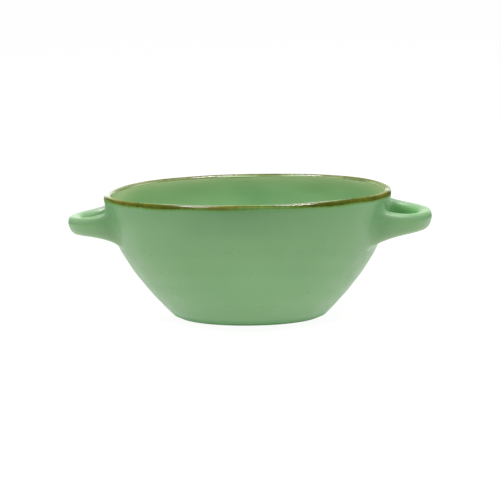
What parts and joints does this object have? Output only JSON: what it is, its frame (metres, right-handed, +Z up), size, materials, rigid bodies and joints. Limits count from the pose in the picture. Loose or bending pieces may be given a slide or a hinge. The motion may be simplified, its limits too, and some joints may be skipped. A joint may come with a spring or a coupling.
{
  "type": "lug soup bowl",
  "caption": "Hand-formed stoneware soup bowl with flaring walls, a loop lug on each side, a brushed brown rim band and a bare foot ring.",
  "frame": {"origin": "on the ground below the middle of the bowl", "axes": "+Z up out of the bowl's mouth, +X through the right lug"},
  "size_m": [0.1904, 0.1511, 0.0666],
  "materials": {
    "green_glaze": "satin glaze",
    "brown_rim": "glossy brown oxide",
    "bare_clay": "unglazed"
  },
  "bodies": {
    "root": {"bowl_body": "green_glaze", "left_lug": "green_glaze", "right_lug": "green_glaze", "rim_band": "brown_rim", "foot_ring": "bare_clay"}
  },
  "joints": []
}
